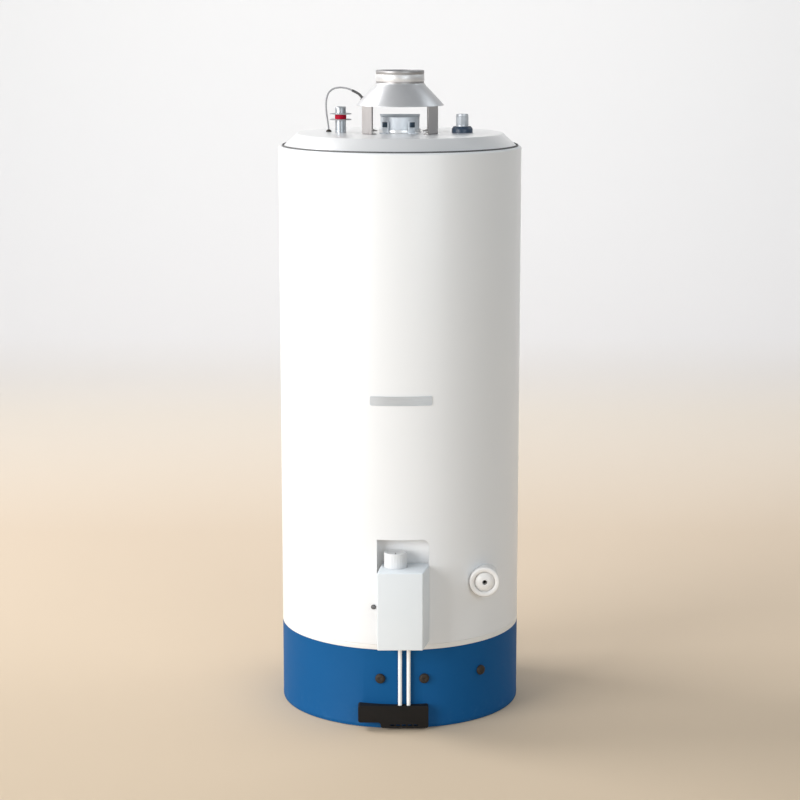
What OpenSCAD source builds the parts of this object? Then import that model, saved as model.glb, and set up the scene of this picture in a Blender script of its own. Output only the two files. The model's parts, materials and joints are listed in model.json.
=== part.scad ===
// Floor-standing gas-fired tank water heater.
// +Z is up, the front faces -Y, and the origin is on the floor under the tank's axis.

/* [Body] */
// Outer diameter of the jacket and the base skirt
jacket_d = 500; // [480:5:520]
// Height of the jacket's top edge above the floor
jacket_top = 1170; // [1100:5:1400]
// Height of the skirt's top edge
skirt_top = 166; // [160:1:170]
// Thickness of the jacket, skirt and lid sheet
sheet = 1; // [0.8:0.1:1.2]
// Height of the lid's flat top above the jacket's top edge
lid_rise = 26; // [24:1:30]
// Radius of the lid's flat top
lid_flat_r = 212; // [205:1:216]

/* [Tank and flue] */
// Outer diameter of the steel tank
tank_d = 440; // [430:1:441]
// Outer diameter of the flue tube through the tank
flue_d = 80; // [76:1:84]
// Diameter of the draught hood's flue spigot
spigot_d = 100; // [96:1:104]
// Radius of the hood's lower edge
hood_r = 90; // [86:1:94]

/* [Water fittings] */
// Distance of the hot outlet from the tank's axis, to the left
hot_x = 122; // [118:1:126]
// Distance of the cold inlet from the tank's axis, to the right
cold_x = 128; // [124:1:132]
// Radius of the hot outlet pipe
hot_r = 11; // [10:0.5:12]
// Radius of the cold inlet nipple
cold_r = 13.2; // [12:0.1:14]

/* [Controls] */
// Distance of the control knob's axis in front of the tank's axis
knob_y = 250; // [249:1:252]
// Radius of the control knob
knob_r = 23.2; // [22:0.1:23.5]
// Height of the valve cover's top
cover_top = 342; // [338:1:346]
// Distance of the valve cover's front face from the tank's axis
cover_front = 305; // [300:1:312]

/* [Hidden] */
$fn = 96;

jacket_r = jacket_d / 2;
tank_r = tank_d / 2;
flue_r = flue_d / 2;
spigot_r = spigot_d / 2;
gap = 0.2;                          // between pieces that nest round each other
wide = 2 * jacket_d;                // longer than any cut needs to be

// Heights of the main stages
pan_z = 7.5;                        // top of the base pan's floor
chamber_top = 204;
tank_bottom = 204;
tank_top = 1125;
jacket_z = skirt_top + 11;          // lower edge of the jacket, above the trim ring
course_z = 430;                     // butt joint between the jacket's two courses, above the control opening
lid_z = jacket_top + lid_rise;      // flat top of the lid
flue_top = lid_z + 33;
cone_z = lid_z + 56;                // lower edge of the hood
cone_h = 44;
spigot_z = cone_z + cone_h + 1;
spigot_h = 26;

// Access opening and the tubes that run down to it
feed_x = 0;
pilot_x = 17.5;
tube_r = 4;
tube_y = -(jacket_r + 5);           // in front of the skirt
tube_bend = 14;
burner_axis_z = 34;
valve_outlet_z = 198;

// Chamber door
door_r = 205.6;
door_t = 1.4;
shutter_a = -14;                    // azimuth of the sight hole from the front, to the left
shutter_pivot_z = 60;
shutter_z = 42;

// Control valve, its knob and its recess
knob_x = -9;
knob_top = 372;
knob_travel = 5;
valve_top = 326;
recess_l = -46.5;
recess_r = 58;
recess_bottom = 187;
recess_top = 396;
recess_back = -223;
cover_wall = 1.5;
cover_bottom = 182;
inlet_y = -272;
inlet_z = 235;
inlet_r = 9.3;

// Igniter and drain cock, both square to the front
lead_block_z = 206;                 // underside of the block where the leads end

igniter_x = -53.7;
igniter_z = 256;
drain_x = 172.4;
drain_z = 300;
drain_elbow_y = -160;
drain_front = -221;
wheel_r = 31;

// Draught hood legs stand at this azimuth either side of the front and the back
leg_a = 48.7;
leg_w = 30;

// A round tube standing on z0
module pipe(r_out, r_in, z0, z1) {
    translate([0, 0, z0]) difference() {
        cylinder(r = r_out, h = z1 - z0);
        translate([0, 0, -1]) cylinder(r = r_in, h = z1 - z0 + 2);
    }
}

// Children that stand on +Z are laid along -Y, so that their height is distance to the front
module facing_front(x, z) {
    translate([x, 0, z]) rotate([90, 0, 0]) children();
}

// Children on +Z are laid along the radius at azimuth a from the front, positive to the right
module radial(a, z) {
    translate([0, 0, z]) rotate([0, 0, a]) rotate([90, 0, 0]) children();
}

// A wall of a round shell between two azimuths from the front
module shell_sector(r_in, r_out, z0, z1, a0, a1) {
    rotate([0, 0, -90 + a0]) translate([0, 0, z0])
        rotate_extrude(angle = a1 - a0) translate([r_in, 0]) square([r_out - r_in, z1 - z0]);
}

// ---------------------------------------------------------------- base and combustion chamber

module base_pan() {
    foot_in = 226;
    foot_out = jacket_r - 3.5;
    color("silver") rotate_extrude() polygon([
        [60, pan_z - 1.5], [foot_in - 4, pan_z - 1.5], [foot_in, 0], [foot_out, 0],
        [foot_out, 26], [foot_out - 1.5, 26], [foot_out - 1.5, 1.5], [foot_in + 1, 1.5],
        [foot_in - 3, pan_z], [60, pan_z]
    ]);
}

module door_screw_places() {
    for (a = [-22, 22], z = [14, 74]) radial(a, z) children();
}

module chamber_wall() {
    color("dimgray") difference() {
        pipe(door_r - 0.1, door_r - 1.6, pan_z, chamber_top);
        translate([-70, -wide, 18]) cube([140, wide, 50]);
        door_screw_places() cylinder(r = 2.2, h = wide);
    }
}

// Curved plate that closes the chamber's access opening, with the rivet that the shutter hangs on
module burner_door() {
    sleeve_r = 6;
    color("#1c1a19") {
        difference() {
            shell_sector(door_r, door_r + door_t, 9, 80, -24, 24);
            door_screw_places() cylinder(r = 2.2, h = wide);
            for (x = [feed_x, pilot_x]) facing_front(x, burner_axis_z) cylinder(r = tube_r + 0.4, h = wide);
            for (x = [29, 38]) facing_front(x, 26) cylinder(r = 2.4, h = wide);
            radial(shutter_a, shutter_z) cylinder(r = 9, h = wide);
        }
        radial(shutter_a, shutter_pivot_z) translate([0, 0, door_r - 1]) {
            cylinder(r = 2, h = 5.6);
            translate([0, 0, door_t + 1.2]) cylinder(r = 3.4, h = 0.8);
            translate([0, 0, 4.7]) cylinder(r = 3.4, h = 0.9);
        }
    }
}

module door_screws() {
    color("silver") door_screw_places() {
        translate([0, 0, door_r - 7]) cylinder(r = 2, h = 8.6);
        translate([0, 0, door_r + door_t + 0.2]) cylinder(r1 = 4.2, r2 = 3, h = 2.2);
    }
}

// Flap that hangs over the sight hole
module sight_shutter() {
    drop = shutter_pivot_z - shutter_z;
    color("#2b2928") radial(shutter_a, shutter_pivot_z) translate([0, 0, door_r + 2.7])
        difference() {
            union() {
                cylinder(r = 5, h = 0.9);
                translate([-5, -drop, 0]) cube([10, drop, 0.9]);
                translate([0, -drop, 0]) cylinder(r = 12, h = 0.9);
            }
            translate([0, 0, -1]) cylinder(r = 2.06, h = 3);
        }
}

// Round pressed burner with a ring of flame ports round its rim
module burner_head() {
    rim = 78;
    color("lightsteelblue") difference() {
        rotate_extrude() polygon([
            [10.8, 58], [12.2, 58], [12.2, 63], [rim - 8, 70], [rim, 77], [rim - 4, 84],
            [30, 88], [0, 88], [0, 86.8], [30, 86.8], [rim - 5, 82.6], [rim - 1.6, 77],
            [rim - 8.6, 71.4], [10.8, 64.2]
        ]);
        for (a = [0:12:348]) rotate([0, 0, a]) translate([rim - 12, 0, 78]) cylinder(r = 2, h = 10);
    }
}

// Horizontal venturi that turns up under the burner
module mixing_tube() {
    r = 10.5;
    bend = 20;
    color("gainsboro") difference() {
        union() {
            facing_front(0, burner_axis_z) pipe(r, r - 1.2, bend, 168);
            facing_front(0, burner_axis_z) translate([0, 0, 168]) rotate_extrude()
                polygon([[r - 1.2, 0], [r, 0], [13, 12], [11.8, 12]]);
            translate([0, -bend, burner_axis_z + bend]) rotate([90, 0, 90]) rotate([0, 0, 270])
                rotate_extrude(angle = 90) translate([bend, 0]) difference() {
                    circle(r = r);
                    circle(r = r - 1.2);
                }
            pipe(r, r - 1.2, burner_axis_z + bend, 63.6);
        }
        for (a = [0, 120, 240]) translate([0, -157, burner_axis_z]) rotate([0, a, 0]) cylinder(r = 4, h = r + 2);
    }
}

// Sleeve that turns on the venturi to meter the primary air
module air_shutter() {
    color("goldenrod") translate([0, -157, burner_axis_z]) difference() {
        rotate([90, 0, 0]) pipe(12.2, 10.56, -7, 7);
        for (a = [0, 120, 240]) rotate([0, a, 0]) cylinder(r = 4, h = 14);
    }
}

module injector() {
    color("darkgoldenrod") facing_front(0, burner_axis_z) difference() {
        union() {
            translate([0, 0, 182.2]) cylinder(r = 6, h = 19.8);
            translate([0, 0, 176]) cylinder(r = 3, h = 7);
            translate([0, 0, 188]) cylinder(r = 7.5, h = 4, $fn = 6);
        }
        translate([0, 0, 178]) cylinder(r = 1.8, h = 20);
        translate([0, 0, 195.8]) cylinder(r = tube_r + 0.1, h = 10);
    }
}

// Folded stand on the pan that carries the injector and the venturi
module burner_bracket() {
    color("silver") difference() {
        union() {
            translate([-16, -198, pan_z]) cube([32, 56, 1.5]);
            translate([-16, -186.4, pan_z]) cube([28, 2, burner_axis_z + 6 - pan_z]);
            translate([-16, -144, pan_z]) cube([28, 2, burner_axis_z + 6 - pan_z]);
        }
        facing_front(0, burner_axis_z) {
            translate([0, 0, 180]) cylinder(r = 6.1, h = 10);
            translate([0, 0, 140]) cylinder(r = 10.6, h = 6);
        }
    }
}

// ---------------------------------------------------------------- gas and pilot lines

// Tube that drops in front of the skirt and turns in through the access opening, as far as y_end
module dropping_tube(x, y_end) {
    turn_z = burner_axis_z + tube_bend;
    translate([x, tube_y, 0]) pipe(tube_r, tube_r - 1, turn_z, valve_outlet_z);
    translate([x, tube_y + tube_bend, turn_z]) rotate([90, 0, 90]) rotate([0, 0, 180])
        rotate_extrude(angle = 90) translate([tube_bend, 0]) difference() {
            circle(r = tube_r);
            circle(r = tube_r - 1);
        }
    facing_front(x, burner_axis_z) pipe(tube_r, tube_r - 1, -y_end, -tube_y - tube_bend);
}

module gas_feed_tube() {
    color("white") dropping_tube(feed_x, -196);
}

// The pilot line turns up again beside the burner
module pilot_feed_tube() {
    rise_y = -96;
    color("white") {
        dropping_tube(pilot_x, rise_y - tube_bend);
        translate([pilot_x, rise_y - tube_bend, burner_axis_z + tube_bend]) rotate([90, 0, 90])
            rotate([0, 0, 270]) rotate_extrude(angle = 90) translate([tube_bend, 0]) difference() {
                circle(r = tube_r);
                circle(r = tube_r - 1);
            }
        translate([pilot_x, rise_y, 0]) pipe(tube_r, tube_r - 1, burner_axis_z + tube_bend, 62);
    }
}

// Pilot head and the plate that holds its two probes
module pilot_burner() {
    color("darkgoldenrod") {
        translate([pilot_x, -96, 62]) difference() {
            union() {
                cylinder(r = 5.5, h = 12);
                translate([0, 0, 12]) cylinder(r1 = 5.5, r2 = 4, h = 8);
            }
            translate([0, 0, -1]) cylinder(r = 2, h = 18);
            translate([-1.5, 0, 15]) cube([3, 8, 3]);
        }
        difference() {
            translate([pilot_x + 5, -100, 66]) cube([24, 8, 1.5]);
            translate([29, -96, 60]) cylinder(r = 2.3, h = 20);
            translate([38, -96, 60]) cylinder(r = 3.6, h = 20);
        }
    }
}

// A rod in one plane: from z_top at the pilot down, level to the front, and up again to z_end
module probe_run(x, r, level, z_top, z_end) {
    bend = 8;
    near = -96;
    far = -237;
    translate([x, near, level + bend]) cylinder(r = r, h = z_top - level - bend);
    translate([x, near - bend, level + bend]) rotate([90, 0, 90]) rotate([0, 0, 270])
        rotate_extrude(angle = 90) translate([bend, 0]) circle(r = r);
    facing_front(x, level) translate([0, 0, bend - near]) cylinder(r = r, h = near - far - 2 * bend);
    translate([x, far + bend, level + bend]) rotate([90, 0, 90]) rotate([0, 0, 180])
        rotate_extrude(angle = 90) translate([bend, 0]) circle(r = r);
    translate([x, far, level + bend]) cylinder(r = r, h = z_end - level - bend);
}

module spark_electrode() {
    color("ivory") translate([38, -96, 0]) {
        translate([0, 0, 52]) cylinder(r = 3.4, h = 22);
        translate([0, 0, 74]) cylinder(r = 0.9, h = 12);
    }
}

module spark_lead() {
    color("dimgray") swept_tube(spark_route, 1.8, 10, [1, -1, 0]);
}

module thermocouple() {
    color("peru") {
        probe_run(29, 1.8, 26, 60, lead_block_z);
        translate([29, -96, 60]) cylinder(r = 2.2, h = 26);
    }
}

// ---------------------------------------------------------------- gas control

module gas_valve_body() {
    left = -36;
    right = 30;
    front = -296;
    color("lightgray") difference() {
        union() {
            translate([left, front + 8, 205]) cube([right - left, 44, valve_top - 205]);
            translate([left + 8, front, 214]) cube([right - left - 16, 9, 86]);
            translate([-3, front + 9, 262]) rotate([90, 0, 0]) cylinder(r = 17, h = 12.5);
            for (x = [feed_x, pilot_x]) translate([x, tube_y, valve_outlet_z]) cylinder(r = 6, h = 8);
            translate([-40.4, inlet_y, inlet_z]) rotate([0, 90, 0]) cylinder(r = 14, h = 8);
            translate([knob_x, -knob_y, valve_top - 1]) cylinder(r = 9, h = 2);
            translate([2, -250, lead_block_z]) cube([40, 20, 16]);
        }
        translate([-41, inlet_y, inlet_z]) rotate([0, 90, 0]) cylinder(r = inlet_r, h = 16.6);
        translate([knob_x, -knob_y, 292]) cylinder(r = 4.05, h = 40);
    }
}

module valve_spindle() {
    color("silver") translate([knob_x, -knob_y, 299]) cylinder(r = 4, h = 46);
}

// Fluted knob that passes through the top of the cover
module control_knob() {
    foot = 334;
    color("whitesmoke") translate([knob_x, -knob_y, foot]) difference() {
        union() {
            cylinder(r = knob_r, h = knob_top - foot - 2);
            translate([0, 0, knob_top - foot - 2]) cylinder(r1 = knob_r, r2 = knob_r - 2, h = 2);
        }
        translate([0, 0, -1]) cylinder(r = 4.06, h = 12.2);
        for (a = [0:18:342]) rotate([0, 0, a]) translate([knob_r + 0.6, 0, 10]) cylinder(r = 1.6, h = 50, $fn = 24);
    }
}

// Plan of the cover, whose sides lean to the right as they go back, taken in by t
module cover_plan(t) {
    polygon([
        [-46 + t, -cover_front + t], [46 - t, -cover_front + t],
        [57 - t, -224.5], [-37 + t, -224.5]
    ]);
}

module valve_cover() {
    color("#e7ebee") difference() {
        union() {
            translate([0, 0, cover_bottom]) linear_extrude(height = cover_top - cover_bottom)
                difference() {
                    cover_plan(0);
                    translate([0, 0.01]) cover_plan(cover_wall);
                }
            translate([0, 0, cover_top - cover_wall]) linear_extrude(height = cover_wall) cover_plan(0);
            translate([0, 0, cover_bottom]) linear_extrude(height = cover_wall) cover_plan(0);
        }
        // clear of the jacket below the recess
        translate([0, 0, cover_bottom - 1]) cylinder(r = jacket_r + 0.4, h = recess_bottom + 1.5 - cover_bottom);
        translate([knob_x, -knob_y, cover_top - 5]) cylinder(r = knob_r + 1, h = 10);
        translate([-60, inlet_y, inlet_z]) rotate([0, 90, 0]) cylinder(r = 15, h = 40);
        for (x = [feed_x, pilot_x]) translate([x - 5.5, tube_y - 5.5, cover_bottom - 1]) cube([11, 30, 4]);
    }
}

// Front outline of the recess: one rounded corner at the top right
module recess_outline(grow) {
    corner = 13;
    l = recess_l - grow;
    r = recess_r + grow;
    b = recess_bottom - grow;
    t = recess_top + grow;
    translate([l, b]) square([r - l, t - b - corner]);
    translate([l, t - corner - 0.01]) square([r - l - corner, corner + 0.01]);
    translate([r - corner, t - corner]) circle(r = corner);
}

// Children drawn in X and Z are carried along Y from y0 to y1
module front_prism(y0, y1) {
    translate([0, y1, 0]) rotate([90, 0, 0]) linear_extrude(height = y1 - y0) children();
}

module valve_recess_pan() {
    color("whitesmoke") difference() {
        intersection() {
            difference() {
                front_prism(-260, recess_back + 1) recess_outline(1);
                front_prism(-261, recess_back) recess_outline(0);
            }
            cylinder(r = jacket_r - sheet - 0.1, h = wide);
        }
        facing_front(knob_x, 300) cylinder(r = 7.4, h = wide);
        for (x = [9, 29]) translate([x, -237, 180]) cylinder(r = 2.6, h = 20);
    }
}

// Immersion sensor that screws into the tank behind the valve
module thermostat_probe() {
    color("darkgoldenrod") facing_front(knob_x, 300) {
        translate([0, 0, 110]) cylinder(r = 5.5, h = 120);
        translate([0, 0, 224.5]) cylinder(r = 12, h = 6, $fn = 6);
        translate([0, 0, 205]) cylinder(r = 7, h = 20);
        translate([0, 0, 230]) cylinder(r = 8, h = 14);
    }
}

module igniter_body() {
    color("dimgray") facing_front(igniter_x, igniter_z) difference() {
        union() {
            translate([0, 0, 218]) cylinder(r = 5.4, h = 24.4);
            translate([0, 0, 240]) cylinder(r = 4.3, h = 6);
            translate([0, 0, 245.6]) cylinder(r = 4.9, h = 1);
        }
        translate([0, 0, 231]) cylinder(r = 3.36, h = 20);
    }
}

module igniter_button() {
    color("gray") facing_front(igniter_x, igniter_z) {
        translate([0, 0, 235]) cylinder(r = 3.3, h = 13.8);
        translate([0, 0, 248.8]) cylinder(r1 = 3.3, r2 = 2.6, h = 0.8);
    }
}

// ---------------------------------------------------------------- tank

module tank_shell() {
    color("slategray") difference() {
        pipe(tank_r, tank_r - 2.5, tank_bottom + 3, tank_top);
        facing_front(knob_x, 300) cylinder(r = 7.2, h = wide);
        drain_axis() cylinder(r = 9.2, h = wide);
    }
}

module tank_top_head() {
    edge = tank_r - 2.7;
    color("slategray") difference() {
        rotate_extrude() polygon([
            [flue_r + gap, 1146], [120, 1140], [190, 1127], [edge, 1116], [edge, 1112.5],
            [edge - 3, 1112.5], [188, 1124.5], [120, 1137.2], [flue_r + gap, 1143.2]
        ]);
        translate([-hot_x, 0, 1100]) cylinder(r = hot_r + gap, h = 60);
        translate([cold_x, 0, 1100]) cylinder(r = cold_r + gap, h = 60);
        translate([0, 140, 1100]) cylinder(r = 12.2, h = 60);
    }
}

module tank_bottom_head() {
    edge = tank_r;
    color("slategray") rotate_extrude() polygon([
        [flue_r + gap, 232], [110, 226], [170, 213], [200, tank_bottom], [edge, tank_bottom],
        [edge, tank_bottom + 3], [201, tank_bottom + 3], [171, 216], [110, 229], [flue_r + gap, 235]
    ]);
}

module flue_tube() {
    color("lightgray") pipe(flue_r, flue_r - 1.5, 228, flue_top);
}

// Folded strip that slows the flue gas, hung across the top of the flue
module flue_baffle() {
    w = 64;
    fold = 55;
    lean = 7;
    steps = 15;
    foot = flue_top - 20 - steps * fold;
    color("gray") {
        rotate([90, 0, 90]) translate([0, 0, -w / 2]) linear_extrude(height = w) polygon(concat(
            [for (i = [0:steps]) [(i % 2) * 2 * lean - lean - 1, foot + i * fold]],
            [[-1, flue_top], [1, flue_top]],
            [for (i = [steps:-1:0]) [(i % 2) * 2 * lean - lean + 1, foot + i * fold]]
        ));
        translate([-flue_r - 1, -1, flue_top]) cube([2 * flue_r + 2, 2, 5]);
    }
}

function clip_angles() = [-41, 32, 180];

// Angle clips that locate the flue on the lid
module flue_clips() {
    color("white") for (a = clip_angles()) rotate([0, 0, a]) difference() {
        union() {
            translate([-8, -flue_r - 5.2, lid_z]) cube([16, 1.6, 26]);
            translate([-8, -flue_r - 16, lid_z]) cube([16, 12, 1.6]);
        }
        translate([0, -flue_r, lid_z + 18]) rotate([90, 0, 0]) cylinder(r = 2.7, h = 10);
    }
}

module clip_screws() {
    color("#2e3842") for (a = clip_angles()) rotate([0, 0, a])
        translate([0, -flue_r, lid_z + 18]) rotate([90, 0, 0]) {
            translate([0, 0, 0.3]) cylinder(r = 2.5, h = 6);
            translate([-5, -5, 5.3]) cube([10, 10, 4]);
        }
}

// Foam between the tank and the jacket
module insulation() {
    out_r = jacket_r - sheet - 0.2;
    in_r = tank_r + gap;
    color("khaki") difference() {
        rotate_extrude() polygon([
            [in_r, jacket_z + 8], [out_r, jacket_z + 8], [out_r, jacket_top - 12], [236, jacket_top - 8],
            [lid_flat_r - 4, lid_z - 6], [flue_r + 2, lid_z - 6], [flue_r + 2, 1147], [120, 1141],
            [190, 1128], [edge_r(), 1117.5], [edge_r(), tank_top + gap], [in_r, tank_top + gap]
        ]);
        front_prism(-260, -200) recess_outline(1.3);
        facing_front(igniter_x, igniter_z) translate([0, 0, 216]) cylinder(r = 6, h = 60);
        facing_front(drain_x, drain_z) translate([0, 0, 120]) cylinder(r = 26, h = 140);
        drain_axis() cylinder(r = 10, h = 260);
        facing_front(knob_x, 300) cylinder(r = 8, h = wide);
        translate([-hot_x, 0, 1100]) cylinder(r = hot_r + 0.3, h = 120);
        translate([cold_x, 0, 1100]) cylinder(r = cold_r + 0.3, h = 120);
        translate([0, 140, 1100]) cylinder(r = 21, h = 120);
        // channels for the leads
        translate([-jacket_r, 24, lid_z - 44]) cube([jacket_r - 143, 8, 60]);
        translate([-jacket_r, 24, 100]) cube([18, 8, lid_z]);
        translate([-5, -260, 100]) cube([48, 32, 90]);
        translate([-58.5, -240, 100]) cube([9.6, 28, igniter_z - 100]);
    }
}

function edge_r() = tank_r - 2.7;

// ---------------------------------------------------------------- casing

// Rolled top edge of the jacket, drawn as two concentric arcs
function roll_arc(r) = [
    for (a = [0:15:75]) [jacket_r - 5 + r * cos(a), jacket_top - 5 + r * sin(a)]
];

module jacket() {
    inner = [for (p = roll_arc(5 - sheet)) p];
    color("white") difference() {
        rotate_extrude($fn = 128) polygon(concat(
            [[jacket_r, jacket_z]], roll_arc(5), [[jacket_r - 6.6, jacket_top], [jacket_r - 6.6, jacket_top - sheet]],
            [for (i = [len(inner) - 1:-1:0]) inner[i]], [[jacket_r - sheet, jacket_z]]
        ));
        front_prism(-260, -200) recess_outline(0);
        facing_front(igniter_x, igniter_z) cylinder(r = 4.6, h = wide);
        facing_front(drain_x, drain_z) cylinder(r = 24, h = wide);
        translate([0, 0, course_z]) cylinder(r = jacket_r + 10, h = 0.05);
    }
}

// Blank plate on the front of the jacket
module badge_plate() {
    color("lightsteelblue") shell_sector(jacket_r + 0.05, jacket_r + 1, 671, 689, -13, 15.5);
}

module lid() {
    rim_r = jacket_r - 10;
    collar_r = flue_r + 1;
    color("white") difference() {
        rotate_extrude() polygon([
            [collar_r, lid_z - 1.2], [collar_r, lid_z + 7.5], [collar_r + 1.4, lid_z + 7.5],
            [collar_r + 1.4, lid_z], [lid_flat_r, lid_z], [rim_r, jacket_top], [rim_r, jacket_top - 6],
            [rim_r - 1.2, jacket_top - 6], [rim_r - 1.2, jacket_top - 0.5],
            [lid_flat_r - 0.5, lid_z - 1.2]
        ]);
        translate([-hot_x, 0, lid_z - 10]) cylinder(r = hot_r + 0.3, h = 20);
        translate([cold_x, 0, lid_z - 10]) cylinder(r = cold_r + 0.3, h = 20);
        translate([0, 140, lid_z - 10]) cylinder(r = 18, h = 20);
        translate([-147, 28, lid_z - 10]) cylinder(r = 3.4, h = 20);
    }
}

// Dark strip that closes the gap between the lid's rim and the jacket's rolled edge
module lid_seal() {
    rim_r = jacket_r - 10;
    color("gray") rotate_extrude() polygon([
        [rim_r + 0.1, jacket_top - 6], [rim_r + 3.2, jacket_top - 6],
        [rim_r + 3.2, jacket_top + 0.6], [rim_r + 0.1, jacket_top + 0.6]
    ]);
}

// Ring that joins the jacket to the skirt
module trim_ring() {
    in_r = jacket_r - 3.4;
    mid_r = jacket_r - 1.4;
    out_r = jacket_r - 0.6;
    color("gainsboro") rotate_extrude($fn = 128) polygon([
        [in_r, skirt_top - 6], [mid_r, skirt_top - 6], [mid_r, skirt_top + 0.1], [out_r, skirt_top + 0.1],
        [out_r, jacket_z - 0.1], [mid_r, jacket_z - 0.1], [mid_r, jacket_z + 6], [in_r, jacket_z + 6]
    ]);
}

function plug_angles() = [-9.2, 11.3, 41.3];
plug_z = 106;

module skirt() {
    color("#1b5f97") difference() {
        pipe(jacket_r, jacket_r - sheet - 0.1, 1, skirt_top);
        translate([-74, -wide, 22]) cube([120, wide, 26]);
        for (a = plug_angles()) radial(a, plug_z) cylinder(r = 8, h = wide);
        for (a = [140:20:220]) radial(a, 44) cylinder(r = 10, h = wide);
    }
}

// Domed rubber plugs in the front of the skirt
module skirt_plugs() {
    color("#3b332e") for (a = plug_angles()) radial(a, plug_z) {
        translate([0, 0, jacket_r - 5]) cylinder(r = 7.8, h = 6);
        translate([0, 0, jacket_r + 0.5]) cylinder(r = 10.2, h = 2.5);
        translate([0, 0, jacket_r + 3]) cylinder(r1 = 10.2, r2 = 8, h = 4.5);
    }
}

// Outline of the access cover: its lower left corner is cut away
module cover_outline(t) {
    polygon([
        [-85.5 + t, 16.4 + t], [-39.6 + t, 16.4 + t], [-39.6 + t, 5 + t],
        [58 - t, 5 + t], [58 - t, 52 - t], [-85.5 + t, 52 - t]
    ]);
}

// Black cover over the access opening, slotted for the two tubes and open at the back
module access_cover() {
    face_y = -(jacket_r + 12);
    color("#211e1c") difference() {
        front_prism(face_y, -225) cover_outline(0);
        front_prism(face_y + 1.5, -220) cover_outline(1.5);
        translate([0, 0, -1]) cylinder(r = jacket_r + 0.4, h = 60);
        for (x = [feed_x, pilot_x]) translate([x - tube_r - 0.6, -260.2, 48]) cube([2 * tube_r + 1.2, 40, 8]);
        for (x = [-20:12:40]) translate([x, face_y - 1, 10]) cube([8, 4, 3]);
    }
}

// ---------------------------------------------------------------- water fittings

module cold_nipple() {
    color("lightgray") translate([cold_x, 0, 0]) {
        pipe(cold_r - 0.6, cold_r - 3, 1110, lid_z + 14);
        pipe(cold_r, cold_r - 3, lid_z + 14, lid_z + 38);
    }
}

module cold_collar() {
    r = 21.6;
    color("#2f4459") translate([cold_x, 0, lid_z + 0.05]) difference() {
        union() {
            cylinder(r = r, h = 8);
            translate([0, 0, 8]) cylinder(r1 = r, r2 = r - 3.4, h = 5);
        }
        translate([0, 0, -1]) cylinder(r = cold_r + 0.15, h = 20);
    }
}

module dip_tube() {
    color("ivory") translate([cold_x, 0, 0]) {
        pipe(cold_r - 3.3, cold_r - 4.8, 310, lid_z + 20);
    }
}

hot_joint_z = lid_z + 26;           // lower face of the insulated joint

// The hot outlet is in two flanged halves with an insulating ring between them
module hot_nipple() {
    color("silver") translate([-hot_x, 0, 0]) {
        pipe(hot_r, hot_r - 2, 1110, hot_joint_z + 1.6);
        pipe(22.3, hot_r - 1, hot_joint_z, hot_joint_z + 1.6);
    }
}

module hot_gasket() {
    color("crimson") translate([-hot_x, 0, 0])
        pipe(hot_r + 0.4, hot_r - 2, hot_joint_z + 1.6, hot_joint_z + 11.6);
}

module hot_tail() {
    color("silver") translate([-hot_x, 0, 0]) {
        pipe(hot_r, hot_r - 2, hot_joint_z + 11.6, hot_joint_z + 27);
        pipe(22.3, hot_r - 1, hot_joint_z + 11.6, hot_joint_z + 13.2);
    }
}

module anode_rod() {
    color("darkgray") translate([0, 140, 0]) {
        translate([0, 0, 380]) cylinder(r = 11, h = 765);
        translate([0, 0, 1120]) cylinder(r = 12, h = 32);
        translate([0, 0, 1152]) cylinder(r = 17, h = 12, $fn = 6);
    }
}

module anode_cap() {
    color("white") translate([0, 140, 0]) {
        translate([0, 0, lid_z + 0.05]) cylinder(r1 = 21, r2 = 19, h = 3);
        pipe(17.6, 16, lid_z - 6, lid_z + 0.5);
    }
}

// ---------------------------------------------------------------- drain cock

// The radius through the elbow of the drain, with its length along +Z of the child
module drain_axis() {
    radial(atan2(drain_x, -drain_elbow_y), drain_z) children();
}

// Solid outline of the elbow, taken in by t
module drain_run(t, bulge) {
    elbow_r = norm([drain_x, drain_elbow_y]);
    drain_axis() translate([0, 0, 214 - t]) cylinder(r = 9 - t, h = elbow_r - 214 + t);
    translate([drain_x, drain_elbow_y, drain_z]) sphere(r = 9 - t + bulge);
    facing_front(drain_x, drain_z) translate([0, 0, -drain_elbow_y]) cylinder(r = 9 - t, h = 15.8 + t);
}

module drain_nipple() {
    color("darkgoldenrod") difference() {
        drain_run(0, 1.4);
        drain_run(2.6, 0.4);
    }
}

// Fixed body with a seat at its back and a domed outlet at its front
module drain_body() {
    dome = 20;
    color("whitesmoke") facing_front(drain_x, drain_z) rotate_extrude() polygon(concat(
        [[5, 200], [8, 198], [8, 180], [4, 180], [4, 176], [12, 176], [12, 213.6], [dome, 213.6]],
        [for (a = [0:15:75]) [dome * cos(a), 214 + 7 * sin(a)]],
        [[5, 221]]
    ));
}

// Hand wheel round the outlet
module drain_wheel() {
    color("white") facing_front(drain_x, drain_z) difference() {
        rotate_extrude() polygon([
            [12.06, 208.6], [wheel_r - 2, 208.6], [wheel_r, 210.6], [wheel_r, 216.5], [wheel_r - 2.5, 219],
            [23.5, 219], [20.9, 217], [20.9, 212.6], [12.06, 212.6]
        ]);
        for (a = [0:30:330]) rotate([0, 0, a]) translate([wheel_r + 2.2, 0, 200]) cylinder(r = 3, h = 30, $fn = 24);
    }
}

// Plug inside the body that the wheel draws off its seat
module drain_jumper() {
    color("saddlebrown") facing_front(drain_x, drain_z) {
        translate([0, 0, 180.4]) cylinder(r = 7.6, h = 4);
        translate([0, 0, 184.4]) cylinder(r = 3, h = 8);
    }
}

// Moulded shroud that squares the drain's face to the front of the round jacket
module drain_shroud() {
    color("whitesmoke") difference() {
        facing_front(drain_x, drain_z) difference() {
            translate([0, 0, 100]) cylinder(r = 28, h = 107);
            translate([0, 0, 99]) cylinder(r = 26.4, h = 106.4);
            cylinder(r = 12.6, h = wide);
        }
        cylinder(r = jacket_r + 0.3, h = wide);
    }
}

// ---------------------------------------------------------------- draught hood

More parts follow.
